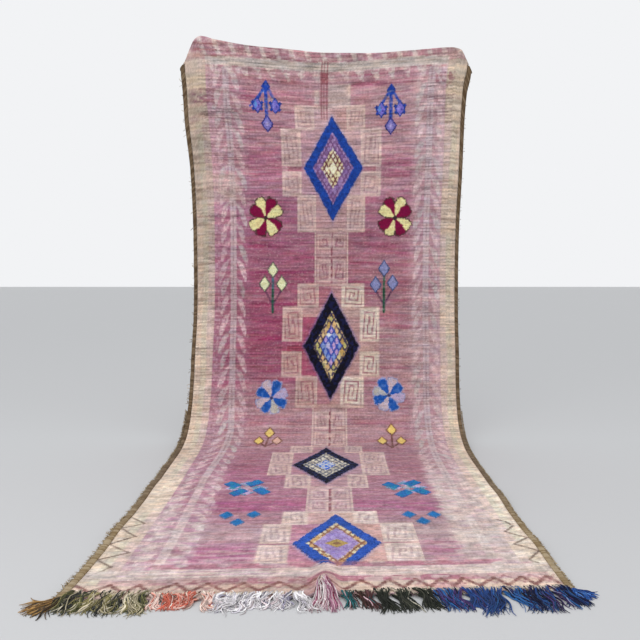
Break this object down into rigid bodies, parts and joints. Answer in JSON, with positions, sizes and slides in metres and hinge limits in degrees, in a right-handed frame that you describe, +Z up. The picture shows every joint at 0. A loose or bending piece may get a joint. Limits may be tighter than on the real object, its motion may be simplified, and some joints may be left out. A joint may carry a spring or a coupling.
{
  "type": "berber runner rug",
  "caption": "Long hand-knotted pile rug, hung by one end and run out over the floor, with overcast side bindings, coloured knotted hem fringe and corner tassels.",
  "frame": {"origin": "on the floor, under the middle of the whole object's box", "axes": "+Z up the hanging part, +Y from the front hem towards the hanging part, +X to the right of a viewer who faces the pile"},
  "size_m": [1.6958, 2.1456, 2.196],
  "materials": {
    "pile": "matte",
    "binding": "matte",
    "yarn_olive": "matte",
    "yarn_coral": "matte",
    "yarn_white": "matte",
    "yarn_mauve": "matte",
    "yarn_brown": "matte",
    "yarn_green": "matte",
    "yarn_navy": "matte",
    "yarn_ochre": "matte",
    "yarn_blue": "matte"
  },
  "bodies": {
    "root": {"rug": "pile", "binding_left": "binding", "binding_right": "binding", "fringe_olive": "yarn_olive", "fringe_coral": "yarn_coral", "fringe_white": "yarn_white", "fringe_mauve": "yarn_mauve", "fringe_brown": "yarn_brown", "fringe_green": "yarn_green", "fringe_navy": "yarn_navy", "tassel_left": "yarn_ochre", "tassel_right": "yarn_blue"}
  },
  "joints": []
}
